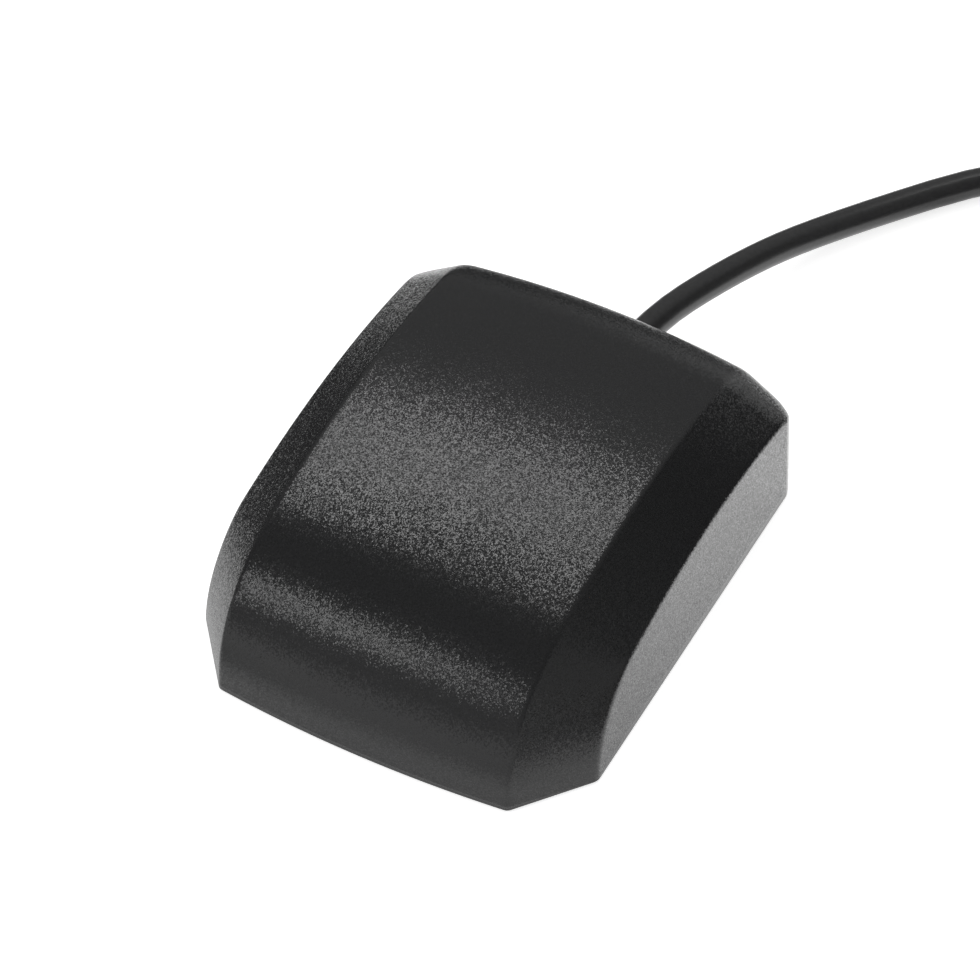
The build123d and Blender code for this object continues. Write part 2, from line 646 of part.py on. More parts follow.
def make_plug_pin():
    pin = post(PLUG_PIN_DIAMETER, NECK_START, INSULATOR_END + PLUG_PIN_REACH)
    return lay(chamfer(pin.edges().filter_by(GeomType.CIRCLE).sort_by(Axis.Z)[-1], PLUG_PIN_DIAMETER / 3))


def make_nut_ring():
    inner = NECK_DIAMETER - 2 * RING_DEPTH + FIT
    outer = NECK_DIAMETER + 2 * RING_PROUD
    ring = tube(outer, inner, RING_START, RING_START + RING_THICKNESS)
    reach = outer / 2
    half_slot = radians(RING_SLOT / 2)
    wedge = Polyline((0, 0), (outer, outer * tan(half_slot)), (outer, -outer * tan(half_slot)), close=True)
    slot = extrude(Pos(0, 0, RING_START) * make_face(wedge), reach)
    return lay(ring - slot)


def make_plug_seal():
    outer = SHELL_DIAMETER + 2 * SEAL_WIDTH
    return lay(tube(outer, SHELL_DIAMETER, SHELL_START, SHELL_START + SEAL_THICKNESS))


# Six-sided nut, turned down at both ends, held on the neck by its ring
def make_coupling_nut():
    bar = extrude(Pos(0, 0, NUT_START) * RegularPolygon(NUT_FLATS / 2, 6, major_radius=False), NUT_LENGTH)
    round_bar = post(NUT_FLATS / cos(pi / 6), NUT_START, NUT_END)
    corner = (NUT_FLATS / cos(pi / 6) - NUT_FLATS) / 2
    nut = bar & chamfer(round_bar.edges().filter_by(GeomType.CIRCLE), corner * 1.2, corner)
    nut -= post(NECK_DIAMETER + 2 * RUNNING_GAP, NUT_START, NUT_END)
    ring_outer = NECK_DIAMETER + 2 * RING_PROUD + 2 * RUNNING_GAP
    nut -= post(ring_outer, RING_START - FIT / 2, RING_START + RING_THICKNESS + FIT / 2)
    nut -= post(NUT_BORE_DIAMETER, NUT_START + NUT_LIP, NUT_END)
    mouth = nut.edges().filter_by(GeomType.CIRCLE).sort_by(Axis.Z)[-1]
    return lay(chamfer(mouth, NUT_CHAMFER))


body = body_form(0)
cavity = body_form(WALL)
cable_run, run_length = cord_tube("cable_run", RUN_POINTS)
cable_tail, tail_length = cord_tube("cable_tail", TAIL_POINTS)
cable_coil = make_cable_coil()
cable_braid = make_cable_braid()
cable_core = make_cable_core()
coil_turns = (CORD_LENGTH - run_length - tail_length) / (2 * pi * COIL_RADIUS)
print("turns in the coil", round(coil_turns, 2), "places", COIL_ROWS * COIL_COLUMNS)

parts = {
    "top_cover": make_top_cover(body, cavity),
    "base_plate": make_base_plate(),
    "base_pad": make_base_pad(),
    "cover_gasket": make_cover_gasket(),
    "base_magnet": make_base_magnet(),
    "case_screws": make_case_screws(),
    "circuit_board": make_circuit_board(),
    "patch_tape": make_patch_tape(),
    "patch_ceramic": make_patch_ceramic(),
    "patch_radiator": make_patch_radiator(),
    "feed_pin": make_feed_pin(),
    "shield_can": make_shield_can(),
    "amplifier_chips": make_amplifier_chips(),
    "saw_filter": make_saw_filter(),
    "voltage_regulator": make_regulator(),
    "chip_parts": make_chip_parts(),
    "cable_grommet": make_cable_grommet() - cable_run,
    "cable_braid": cable_braid,
    "cable_insulator": make_cable_insulator(),
    "cable_core": cable_core,
    "board_solder": make_board_solder(cable_braid, cable_core),
    "cable_run": cable_run,
    "cable_coil": cable_coil,
    "cable_tail": cable_tail,
    "coil_ties": Compound([tie - cable_coil for tie in make_coil_ties()]),
    "crimp_sleeve": make_crimp_sleeve(),
    "heat_shrink": make_heat_shrink(),
    "connector_body": make_connector_body(),
    "plug_dielectric": make_plug_dielectric(),
    "plug_insulator": make_plug_insulator(),
    "plug_pin": make_plug_pin(),
    "nut_ring": make_nut_ring(),
    "plug_seal": make_plug_seal(),
    "coupling_nut": make_coupling_nut(),
}
for name, piece in parts.items():
    export_step(piece, f"parts/{name}.step")
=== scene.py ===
import json
from math import cos, hypot, pi, radians, sin, tan

import bmesh
import bpy
from mathutils import Matrix, Vector


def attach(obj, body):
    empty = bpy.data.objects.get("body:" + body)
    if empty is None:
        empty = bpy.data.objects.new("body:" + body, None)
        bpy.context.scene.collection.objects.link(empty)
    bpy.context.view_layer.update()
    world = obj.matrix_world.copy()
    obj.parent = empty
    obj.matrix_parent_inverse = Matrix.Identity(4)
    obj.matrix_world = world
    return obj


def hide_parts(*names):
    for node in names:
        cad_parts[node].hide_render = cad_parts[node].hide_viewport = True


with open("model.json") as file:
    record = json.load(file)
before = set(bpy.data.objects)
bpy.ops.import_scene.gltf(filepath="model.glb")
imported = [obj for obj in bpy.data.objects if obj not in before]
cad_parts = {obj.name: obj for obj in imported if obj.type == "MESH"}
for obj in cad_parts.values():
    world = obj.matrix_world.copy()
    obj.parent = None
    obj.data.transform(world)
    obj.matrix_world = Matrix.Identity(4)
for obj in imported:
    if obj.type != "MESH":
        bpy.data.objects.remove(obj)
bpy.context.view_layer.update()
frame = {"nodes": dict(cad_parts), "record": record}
MM = 0.001
NODES = frame["nodes"]


# Camera, from the photograph's angle. Lengths in metres, picture sizes in pixels.
PICTURE_WIDTH = 980
FOCAL_LENGTH_PX = 4386.5
CAMERA_PLACE = (0.12059, -0.22544, 0.29574)
CAMERA_AZIMUTH = 28.13
CAMERA_ELEVATION = 48.10
CAMERA_ROLL = 0.13
SENSOR_WIDTH = 36.0
NEAREST_SEEN = 0.01


def make_camera():
    data = bpy.data.cameras.new("camera")
    data.sensor_width = SENSOR_WIDTH
    data.lens = FOCAL_LENGTH_PX / PICTURE_WIDTH * SENSOR_WIDTH
    data.clip_start = NEAREST_SEEN
    camera = bpy.data.objects.new("camera", data)
    bpy.context.scene.collection.objects.link(camera)
    azimuth, elevation = radians(CAMERA_AZIMUTH), radians(CAMERA_ELEVATION)
    forward = Vector((-sin(azimuth) * cos(elevation), cos(azimuth) * cos(elevation), -sin(elevation)))
    right = Vector((cos(azimuth), sin(azimuth), 0))
    up = right.cross(forward)
    turn = Matrix((right, up, -forward)).transposed()
    roll = Matrix.Rotation(-radians(CAMERA_ROLL), 3, forward)
    camera.matrix_world = Matrix.Translation(CAMERA_PLACE) @ (roll @ turn).to_4x4()
    bpy.context.scene.camera = camera


# Lead: its route's points in millimetres. The first ones follow the photograph.
CORD_DIAMETER = 2.8
EXIT_X = 0.5
EXIT_HEIGHT = 5.95
JACKET_END_Y = 18.2
CORD_RADIUS = CORD_DIAMETER / 2
PLUG_X = 76.0
PLUG_HEIGHT = 4.0
JACKET_FRONT_Y = -4.0       # where the jacket ends in the plug's sleeve
COIL_CENTRE = (60.5, 43.0)
COIL_RADIUS = 22.8
COIL_COLUMNS = 4
COIL_BASE = 0.5
COIL_ENTRY_ANGLE = 90.0
COIL_EXIT_ANGLE = 0.0
COIL_EXIT_ROW = 3
POINTS_PER_TURN = 24
TURN_SHIFT = 0.25           # share of a turn over which the cord moves to its next place
TURN_WANDER = 0.22          # how far a turn strays from its place
WANDER_WAVES = (2.3, 0.31)  # its two waves, in radians from one point to the next
CORD_ROUNDNESS = 6          # steps along and around the cord


def eased(share):
    return share * share * (3 - 2 * share)


def coil_place(angle, column, row):
    radius = COIL_RADIUS + CORD_DIAMETER * ((COIL_COLUMNS - 1) / 2 - column)
    height = COIL_BASE + CORD_DIAMETER * (row + 0.5)
    return (
        COIL_CENTRE[0] + radius * cos(radians(angle)),
        COIL_CENTRE[1] + radius * sin(radians(angle)),
        height,
    )


RUN_POINTS = [
    (EXIT_X, JACKET_END_Y, EXIT_HEIGHT),
    (EXIT_X, 27.6, EXIT_HEIGHT),
    (4.2, 41.0, 4.1),
    (8.4, 52.0, 1.6),
    (22.8, 70.5, CORD_RADIUS),
    (37.5, 72.0, CORD_RADIUS),
    (49.5, 71.2, 1.6),
    coil_place(COIL_ENTRY_ANGLE, 0, 0),
]
TAIL_POINTS = [
    coil_place(COIL_EXIT_ANGLE, 0, COIL_EXIT_ROW),
    (87.5, 33.0, 10.0),
    (84.0, 22.0, 7.4),
    (PLUG_X, 11.0, PLUG_HEIGHT),
    (PLUG_X, JACKET_FRONT_Y, PLUG_HEIGHT),
]


# The turns fill row after row, inwards and outwards. The last two rows fill together, outwards.
def coil_places():
    places = []
    inwards = list(range(COIL_COLUMNS))
    outwards = inwards[::-1]
    for row in range(COIL_EXIT_ROW):
        places += [(column, row) for column in (outwards if row % 2 else inwards)]
    for step, column in enumerate(outwards):
        pair = [(column, COIL_EXIT_ROW), (column, COIL_EXIT_ROW + 1)]
        places += pair[::-1] if step % 2 else pair
    return places


def coil_points():
    places = coil_places()
    sweep = COIL_ENTRY_ANGLE - COIL_EXIT_ANGLE + 360 * (len(places) - 1)
    steps = round(POINTS_PER_TURN * sweep / 360)
    quick, slow = WANDER_WAVES
    points = []
    for step in range(1, steps):
        turned = sweep * step / steps
        along = turned / sweep * (len(places) - 1)
        here = int(along)
        moved = eased(max(0.0, (along - here - 1 + TURN_SHIFT) / TURN_SHIFT))
        now, after = places[here], places[min(here + 1, len(places) - 1)]
        stray = TURN_WANDER / CORD_DIAMETER * sin(quick * step) * sin(slow * step)
        column = now[0] + (after[0] - now[0]) * moved + stray
        row = now[1] + (after[1] - now[1]) * moved
        points.append(coil_place(COIL_ENTRY_ANGLE - turned, column, row))
    return points


def make_cord(material):
    points = RUN_POINTS + coil_points() + TAIL_POINTS
    data = bpy.data.curves.new("antenna_lead", "CURVE")
    data.dimensions = "3D"
    data.resolution_u = CORD_ROUNDNESS
    data.bevel_depth = CORD_DIAMETER / 2 * MM
    data.bevel_resolution = CORD_ROUNDNESS
    data.use_fill_caps = True
    spline = data.splines.new("NURBS")
    spline.points.add(len(points) - 1)
    for point, place in zip(spline.points, points):
        point.co = (*(Vector(place) * MM), 1)
    spline.order_u = 3
    spline.use_endpoint_u = True
    spline.use_smooth = True
    cord = bpy.data.objects.new("antenna_lead", data)
    bpy.context.scene.collection.objects.link(cord)
    data.materials.append(material)
    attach(cord, "antenna")
    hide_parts("cable_run", "cable_coil", "cable_tail")
    return cord


# Cover: the outlines of its solid in millimetres, with soft ridges and smaller roundings at the rear
BODY_LENGTH = 48.0
BODY_WIDTH = 39.0
BODY_HEIGHT = 16.9
SLOPE_WIDTH = 5.3
CROWN = 0.8
RIM_GAP = 0.2
RIM_WALL = 1.0
RIM_DEPTH = 2.2
FRONT_CORNER_DEPTH = 6.55
REAR_CORNER_DEPTH = 0.25
REAR_CORNER_RADIUS = 2.6
REAR_CORNER_SHIFT = 0.95    # distance of its centre from the rear wall, as a share of the radius
TOP_CORNER_DROP = 4.5
RIDGE_DRAFT = 0.8           # degrees
SIDE_DRAFT = 2.6
RIDGE_RISE = 2.1
SIDE_RISE = 0.3
RIDGE_ARCS = (19.0, 11.0, 4.6)      # radii of brow, rear and rear edge
SIDE_ARCS = (4.6, 8.0, 2.6)
HEADINGS = (87.0, 30.0, 14.0, -10.0, -35.0, -90.0)      # of the outline where its arcs meet, in degrees

RISE_ROWS = 4
ARC_ROWS = (22, 14, 44, 18, 18)     # one count for each arc of the outline
REAR_ROWS = 12
CROWN_COLUMNS = 26
SLOPE_COLUMNS = 9
EDGE_STEPS = 5
RIDGE_SOFTNESS = 0.32       # how far the rounding of the long ridges reaches
SOFTENING_ROWS = 6          # the ridges start to soften this many rows before the rear arc
REAR_RIDGE_SOFTNESS = 0.8
SIDE_SOFTNESS = 0.42
CORNER_SOFTNESS = 1.0
WELD = 0.002                # places this near to each other become one
SLIVER = 0.001              # edges shorter than this are closed
NO_LENGTH = 1e-9            # metres
FLAT_FACE_WEIGHT = 60


def arc_rise(radius, start, end):
    return radius * (cos(radians(end)) - cos(radians(start)))


def arc_run(radius, start, end):
    return radius * (sin(radians(start)) - sin(radians(end)))


# Radii of the five arcs. Those of front and top follow from the outline's height and length.
def outline_radii(length, height, rise, arcs):
    brow, rear, edge = arcs
    front_heading, brow_heading, top_heading, tail_heading, edge_heading, rear_heading = HEADINGS
    others_run = rise / tan(radians(front_heading)) + arc_run(brow, brow_heading, top_heading)
    others_run += arc_run(rear, tail_heading, edge_heading) + arc_run(edge, edge_heading, rear_heading)
    front_rise = arc_rise(1, front_heading, brow_heading)
    front_run = arc_run(1, front_heading, brow_heading)
    top_rise = arc_rise(1, top_heading, 0)
    top_run = arc_run(1, top_heading, tail_heading)
    height_left = height - rise - arc_rise(brow, brow_heading, top_heading)
    length_left = length - others_run
    determinant = front_rise * top_run - top_rise * front_run
    front = (height_left * top_run - top_rise * length_left) / determinant
    top = (front_rise * length_left - front_run * height_left) / determinant
    return front, brow, top, rear, edge


# Places and outward directions along one outline, from the front rim over the top to the rear rim
def outline_rows(start, rise, radii):
    slope = radians(HEADINGS[0])
    along, across = Vector((cos(slope), sin(slope))), Vector((-sin(slope), cos(slope)))
    here = Vector((start, 0))
    rows = [(here + along * rise * step / RISE_ROWS, across) for step in range(RISE_ROWS)]
    here += along * rise
    for radius, first, last, count in zip(radii, HEADINGS, HEADINGS[1:], ARC_ROWS):
        centre = here - Vector((-sin(radians(first)), cos(radians(first)))) * radius
        for step in range(count):
            turn = radians(first + (last - first) * step / count)
            outward = Vector((-sin(turn), cos(turn)))
            rows.append((centre + outward * radius, outward))
        here = centre + Vector((-sin(radians(last)), cos(radians(last)))) * radius
    for step in range(REAR_ROWS + 1):
        rows.append((Vector((here.x, here.y * (1 - step / REAR_ROWS))), Vector((1, 0))))
    return rows


def leaning(x, draft, place):
    lean = radians(draft)
    return Vector((x - place.y * sin(lean), place.x, RIM_GAP + place.y * cos(lean)))


# Rounds a corner between three places with a curve that leaves the outer two along their faces
def soft_edge(before, corner, after):
    shares = [step / EDGE_STEPS for step in range(EDGE_STEPS + 1)]
    return [before * (1 - k) ** 2 + corner * 2 * k * (1 - k) + after * k**2 for k in shares]


# Brings the rear corner in to an upright round one, with a soft passage to the flat walls
def round_corner(place):
    side = BODY_WIDTH / 2 - (place.z - RIM_GAP) * tan(radians(SIDE_DRAFT))
    rear = BODY_LENGTH / 2 - CROWN - REAR_CORNER_DEPTH
    centre = Vector((side - REAR_CORNER_RADIUS, rear - REAR_CORNER_SHIFT * REAR_CORNER_RADIUS))
    across, along = place.x - centre.x, place.y - centre.y
    if across <= 0 or along <= 0:
        return place
    reach = hypot(across, along)
    soft = CORNER_SOFTNESS * 2 * across * along / reach**2
    near = max(soft - abs(reach - REAR_CORNER_RADIUS), 0) / soft
    pulled = min(reach, REAR_CORNER_RADIUS) - near**2 * soft / 4
    return Vector((centre.x + across * pulled / reach, centre.y + along * pulled / reach, place.z))


def softness(row, first_rear_row, edge_row):
    share = eased(min(max((row - first_rear_row) / (edge_row - first_rear_row), 0), 1))
    return RIDGE_SOFTNESS + (REAR_RIDGE_SOFTNESS - RIDGE_SOFTNESS) * share


# One half of the outer skin as rows of places, from the middle of the top to the slope's lower edge
def cover_rows():
    length = BODY_LENGTH - 2 * CROWN
    height = BODY_HEIGHT - CROWN - RIM_GAP
    ridge_x, side_x = BODY_WIDTH / 2 - SLOPE_WIDTH, BODY_WIDTH / 2
    ridge_radii = outline_radii(length, height, RIDGE_RISE, RIDGE_ARCS)
    side_length = length - FRONT_CORNER_DEPTH - REAR_CORNER_DEPTH
    side_radii = outline_radii(side_length, height - TOP_CORNER_DROP, SIDE_RISE, SIDE_ARCS)
    ridges = outline_rows(-length / 2, RIDGE_RISE, ridge_radii)
    sides = outline_rows(-length / 2 + FRONT_CORNER_DEPTH, SIDE_RISE, side_radii)
    first_rear_row = RISE_ROWS + sum(ARC_ROWS[:3]) - SOFTENING_ROWS
    edge_row = RISE_ROWS + sum(ARC_ROWS[:4])
    skin, walls = [], []
    for row, ((ridge, ridge_out), (side, side_out)) in enumerate(zip(ridges, sides)):
        ridge_place = leaning(ridge_x, RIDGE_DRAFT, ridge)
        side_place = leaning(side_x, SIDE_DRAFT, side)
        width = softness(row, first_rear_row, edge_row)

        def crowned(share):
            bulge = CROWN * (1 - share * share)
            place = Vector((ridge_place.x * share, *(ridge_place.yz + ridge_out * bulge)))
            return Vector((place.x, place.y, max(place.z, RIM_GAP)))

        slope = side_place - ridge_place
        slope_length = slope.length
        line = [crowned((1 - width / ridge_x) * step / CROWN_COLUMNS) for step in range(CROWN_COLUMNS)]
        last_crowned = crowned(1 - width / ridge_x)
        line += soft_edge(last_crowned, ridge_place, ridge_place + slope * width / slope_length)
        first, last = width / slope_length, 1 - SIDE_SOFTNESS / slope_length
        for step in range(1, SLOPE_COLUMNS):
            line.append(ridge_place + slope * (first + (last - first) * step / SLOPE_COLUMNS))
        inner = side - side_out * SIDE_SOFTNESS
        inner.y = max(inner.y, 0)
        wall = leaning(side_x, SIDE_DRAFT, inner)
        line += soft_edge(ridge_place + slope * last, side_place, wall)
        skin.append(line)
        walls.append(inner)
    return skin, walls


def add_strip(mesh, upper, lower):
    for k in range(len(upper) - 1):
        corners = [upper[k], upper[k + 1], lower[k + 1], lower[k]]
        kept = [c for i, c in enumerate(corners) if (c.co - corners[i - 1].co).length > NO_LENGTH]
        if len(kept) > 2:
            mesh.faces.new(kept)


def make_cover(material):
    skin, walls = cover_rows()
    mesh = bmesh.new()
    for side in (1, -1):

        def vertex(place):
            rounded = round_corner(place)
            return mesh.verts.new(Vector((side * rounded.x, rounded.y, rounded.z)) * MM)

        rows = [[vertex(place) for place in line] for line in skin]
        for upper, lower in zip(rows, rows[1:]):
            add_strip(mesh, upper, lower)
        # The side wall hangs from the slope's lower edge, in as many steps as the rear wall has
        rear_row = len(walls) - 1 - REAR_ROWS
        hung = []
        for inner in walls[: rear_row + 1]:
            steps = [Vector((inner.x, inner.y * (1 - k / REAR_ROWS))) for k in range(REAR_ROWS + 1)]
            hung.append([vertex(leaning(BODY_WIDTH / 2, SIDE_DRAFT, step)) for step in steps])
        for upper, lower in zip(hung, hung[1:]):
            add_strip(mesh, upper, lower)
    bmesh.ops.remove_doubles(mesh, verts=mesh.verts, dist=WELD * MM)
    bmesh.ops.dissolve_degenerate(mesh, edges=mesh.edges, dist=SLIVER * MM)
    bmesh.ops.recalc_face_normals(mesh, faces=mesh.faces)
    add_rim(mesh)
    data = bpy.data.meshes.new("cover_shell")
    mesh.to_mesh(data)
    mesh.free()
    data.shade_smooth()
    cover = bpy.data.objects.new("cover_shell", data)
    bpy.context.scene.collection.objects.link(cover)
    data.materials.append(material)
    cover.modifiers.new("flat_faces", "WEIGHTED_NORMAL").weight = FLAT_FACE_WEIGHT
    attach(cover, "antenna")
    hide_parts("top_cover")


# The rim's underside and the start of the cover's inside, round the base plate
def add_rim(mesh):
    edges = [edge for edge in mesh.edges if edge.is_boundary]
    around = bmesh.ops.extrude_edge_only(mesh, edges=edges)["geom"]
    inner = [item for item in around if isinstance(item, bmesh.types.BMVert)]
    reach = 1 - RIM_WALL / (BODY_WIDTH / 2)
    reach_y = 1 - RIM_WALL / (BODY_LENGTH / 2)
    for vertex in inner:
        vertex.co.x *= reach
        vertex.co.y *= reach_y
    ring = [item for item in around if isinstance(item, bmesh.types.BMEdge)]
    raised = bmesh.ops.extrude_edge_only(mesh, edges=ring)["geom"]
    for item in raised:
        if isinstance(item, bmesh.types.BMVert):
            item.co.z += RIM_DEPTH * MM


# Materials
RAMP_LOW = 0.3
RAMP_HIGH = 0.7
# Shares of the colour or the roughness where the noise is low and where it is high
GRAIN_SHADES = (0.8, 1.2)
CLOUD_GLOSS = (0.94, 1.06)
PLASTIC_SHADES = (0.85, 1.15)
METAL_SHADES = (0.93, 1)
METAL_GLOSS = (0.8, 1.25)
GRAIN_SPOTS = 1.6           # size of the grain's colour spots as a share of the grain's size
GRAIN_DETAIL = 1.5
CLOUD_MM = 14.0
CLOUD_DETAIL = 3.0
PLASTIC_DETAIL = 3.0
PLASTIC_BUMP = 0.5
METAL_GRAIN_MM = 0.25
METAL_DETAIL = 4.0
METAL_DEPTH_MM = 0.004
METAL_BUMP = 0.4


def new_material(name, color, roughness, metallic=0.0):
    material = bpy.data.materials.new(name)
    material.use_nodes = True
    shader = material.node_tree.nodes["Principled BSDF"]
    shader.inputs["Base Color"].default_value = (*color, 1)
    shader.inputs["Roughness"].default_value = roughness
    shader.inputs["Metallic"].default_value = metallic
    return material, material.node_tree, shader


def add_node(tree, kind, **values):
    node = tree.nodes.new(kind)
    for name, value in values.items():
        if name in node.inputs:
            node.inputs[name].default_value = value
        else:
            setattr(node, name, value)
    return node


def object_place(tree):
    place = tree.nodes.get("place") or tree.nodes.new("ShaderNodeTexCoord")
    place.name = "place"
    return place.outputs["Object"]


def noise(tree, size_mm, detail):
    texture = add_node(tree, "ShaderNodeTexNoise", Scale=1 / (size_mm * MM), Detail=detail)
    tree.links.new(object_place(tree), texture.inputs["Vector"])
    return texture.outputs["Fac"]


def ramp(tree, source, stops):
    node = tree.nodes.new("ShaderNodeValToRGB")
    elements = node.color_ramp.elements
    while len(elements) < len(stops):
        elements.new(0.5)
    for element, (place, level) in zip(elements, stops):
        element.position = place
        element.color = (*level, 1) if isinstance(level, tuple) else (level, level, level, 1)
    tree.links.new(source, node.inputs["Fac"])
    return node.outputs["Color"]


# The source darkens the colour where it is low and lightens it where it is high
def vary_color(tree, shader, source, color, shades):
    dark, light = (tuple(share * c for c in color) for share in shades)
    shade = ramp(tree, source, [(RAMP_LOW, dark), (RAMP_HIGH, light)])
    tree.links.new(shade, shader.inputs["Base Color"])


def vary_roughness(tree, shader, source, roughness, gloss):
    low, high = gloss
    rough = ramp(tree, source, [(RAMP_LOW, roughness * low), (RAMP_HIGH, roughness * high)])
    tree.links.new(rough, shader.inputs["Roughness"])


def bump(tree, shader, height, depth_mm, strength):
    node = add_node(tree, "ShaderNodeBump", Distance=depth_mm * MM, Strength=strength)
    tree.links.new(height, node.inputs["Height"])
    tree.links.new(node.outputs["Normal"], shader.inputs["Normal"])


# Turns the surface a little in each of many tiny cells, as the pits of a spark-eroded mould do
def facets(tree, shader, size_mm, tilt):
    cells = add_node(tree, "ShaderNodeTexVoronoi", Scale=1 / (size_mm * MM))
    tree.links.new(object_place(tree), cells.inputs["Vector"])
    centred = add_node(tree, "ShaderNodeVectorMath", operation="SUBTRACT")
    tree.links.new(cells.outputs["Color"], centred.inputs[0])
    centred.inputs[1].default_value = (0.5, 0.5, 0.5)
    turned = add_node(tree, "ShaderNodeVectorMath", operation="SCALE", Scale=tilt)
    tree.links.new(centred.outputs["Vector"], turned.inputs[0])
    surface = tree.nodes.new("ShaderNodeNewGeometry")
    total = add_node(tree, "ShaderNodeVectorMath", operation="ADD")
    tree.links.new(surface.outputs["Normal"], total.inputs[0])
    tree.links.new(turned.outputs["Vector"], total.inputs[1])
    normal = add_node(tree, "ShaderNodeVectorMath", operation="NORMALIZE")
    tree.links.new(total.outputs["Vector"], normal.inputs[0])
    tree.links.new(normal.outputs["Vector"], shader.inputs["Normal"])


# Moulded plastic with a fine spark-eroded grain
def grained_plastic(name, color, roughness, grain_mm, tilt):
    material, tree, shader = new_material(name, color, roughness)
    vary_color(tree, shader, noise(tree, grain_mm * GRAIN_SPOTS, GRAIN_DETAIL), color, GRAIN_SHADES)
    vary_roughness(tree, shader, noise(tree, CLOUD_MM, CLOUD_DETAIL), roughness, CLOUD_GLOSS)
    facets(tree, shader, grain_mm, tilt)
    return material


def smooth_plastic(name, color, roughness, grain_mm=0.5, depth_mm=0.01):
    material, tree, shader = new_material(name, color, roughness)
    fine = noise(tree, grain_mm, PLASTIC_DETAIL)
    vary_color(tree, shader, fine, color, PLASTIC_SHADES)
    bump(tree, shader, fine, depth_mm, PLASTIC_BUMP)
    return material


def plated_metal(name, color, roughness):
    material, tree, shader = new_material(name, color, roughness, metallic=1.0)
    fine = noise(tree, METAL_GRAIN_MM, METAL_DETAIL)
    vary_color(tree, shader, fine, color, METAL_SHADES)
    vary_roughness(tree, shader, fine, roughness, METAL_GLOSS)
    bump(tree, shader, fine, METAL_DEPTH_MM, METAL_BUMP)
    return material


def make_materials():
    made = {
        "housing_plastic": grained_plastic("housing_plastic", (0.0158, 0.0160, 0.0165), 0.22, 0.1, 0.22),
        "base_plastic": smooth_plastic("base_plastic", (0.017, 0.017, 0.018), 0.5),
        "pad_rubber": smooth_plastic("pad_rubber", (0.012, 0.012, 0.012), 0.75),
        "gasket_silicone": smooth_plastic("gasket_silicone", (0.3, 0.31, 0.32), 0.6),
        "magnet_nickel": plated_metal("magnet_nickel", (0.66, 0.65, 0.62), 0.28),
        "screw_steel": plated_metal("screw_steel", (0.55, 0.55, 0.56), 0.35),
        "board_laminate": smooth_plastic("board_laminate", (0.015, 0.11, 0.045), 0.35),
        "tape_foam": smooth_plastic("tape_foam", (0.75, 0.74, 0.7), 0.8),
        "tile_ceramic": smooth_plastic("tile_ceramic", (0.6, 0.45, 0.31), 0.7),
        "fired_silver": plated_metal("fired_silver", (0.86, 0.85, 0.82), 0.45),
        "solder_tin": plated_metal("solder_tin", (0.78, 0.78, 0.8), 0.22),
        "can_tinplate": plated_metal("can_tinplate", (0.72, 0.72, 0.72), 0.3),
        "chip_plastic": smooth_plastic("chip_plastic", (0.015, 0.015, 0.015), 0.55),
        "filter_lid": plated_metal("filter_lid", (0.8, 0.7, 0.45), 0.3),
        "chip_ceramic": smooth_plastic("chip_ceramic", (0.5, 0.4, 0.3), 0.6),
        "grommet_rubber": smooth_plastic("grommet_rubber", (0.013, 0.013, 0.013), 0.6),
        "tinned_copper": plated_metal("tinned_copper", (0.75, 0.7, 0.64), 0.35),
        "core_insulation": smooth_plastic("core_insulation", (0.8, 0.8, 0.78), 0.4),
        "bare_copper": plated_metal("bare_copper", (0.85, 0.48, 0.3), 0.3),
        "cable_jacket": smooth_plastic("cable_jacket", (0.027, 0.027, 0.0275), 0.3, 0.4, 0.012),
        "tie_plastic": smooth_plastic("tie_plastic", (0.013, 0.013, 0.013), 0.5),
        "shrink_sleeve": smooth_plastic("shrink_sleeve", (0.015, 0.015, 0.016), 0.5, 0.9, 0.03),
        "gold_plate": plated_metal("gold_plate", (1.0, 0.72, 0.3), 0.22),
        "plug_insulation": smooth_plastic("plug_insulation", (0.86, 0.86, 0.84), 0.4),
        "ring_bronze": plated_metal("ring_bronze", (0.8, 0.52, 0.28), 0.3),
        "seal_silicone": smooth_plastic("seal_silicone", (0.35, 0.03, 0.02), 0.5),
    }
    for subpart in frame["record"]["subparts"]:
        piece = NODES[subpart["node"]]
        piece.data.materials.clear()
        piece.data.materials.append(made[subpart["material_slot"]])
    return made


# Stage: a pale floor under two narrow soft boxes, one over the rear and one at the front left.
# Reflections see the floor near the object bright and what is further away dark, as in a small studio.
FLOOR_RADIUS = 4.0
FLOOR_CORNERS = 96
FLOOR_DROP = 0.0002
FLOOR_WHITE = 0.8
FLOOR_GLOW = 0.7
FLOOR_GLOW_REFLECTED = 0.95
FLOOR_TILT = 4.5            # how much brighter the reflected floor gets for each metre to the right
BRIGHT_SHAPE = (1.25, 1, 1)     # the bright patch of floor is longer from front to rear
BRIGHT_SHIFT = (0, -0.014, 0)
BRIGHT_REACH = 0.042
DARK_REACH = 0.064
FAR_FLOOR = 0.03
# Along y: where a change starts and ends, and the levels there
FRONT_FADE = (-0.045, 0.022, 0.42, 1)
FAR_FRONT = (-0.045, -0.02, 0.5, 0)
# Patches of the reflected floor: centre, where the edge starts and ends, level inside and outside
DARK_LEFT = ((-0.056, 0.020, 0), 0.010, 0.032, 0, 1)
DARK_REAR = ((-0.018, 0.066, 0), 0.014, 0.032, 0.1, 1)
BRIGHT_CORNER = ((0.038, 0.076, 0), 0.010, 0.040, 1.2, 0)
AMBIENT = 0.8
# Parts of the room that reflect darker or brighter: direction, cosines of outer and inner edge, change
DARK_SIDE = ((0.70, 0.62, 0.34), 0.90, 0.975, 1)
BRIGHT_SIDE = ((0.97, -0.10, 0.20), 0.90, 0.98, 0.35)
BRIGHT_REAR = ((0.33, 0.94, 0.06), 0.93, 0.995, 0.7)
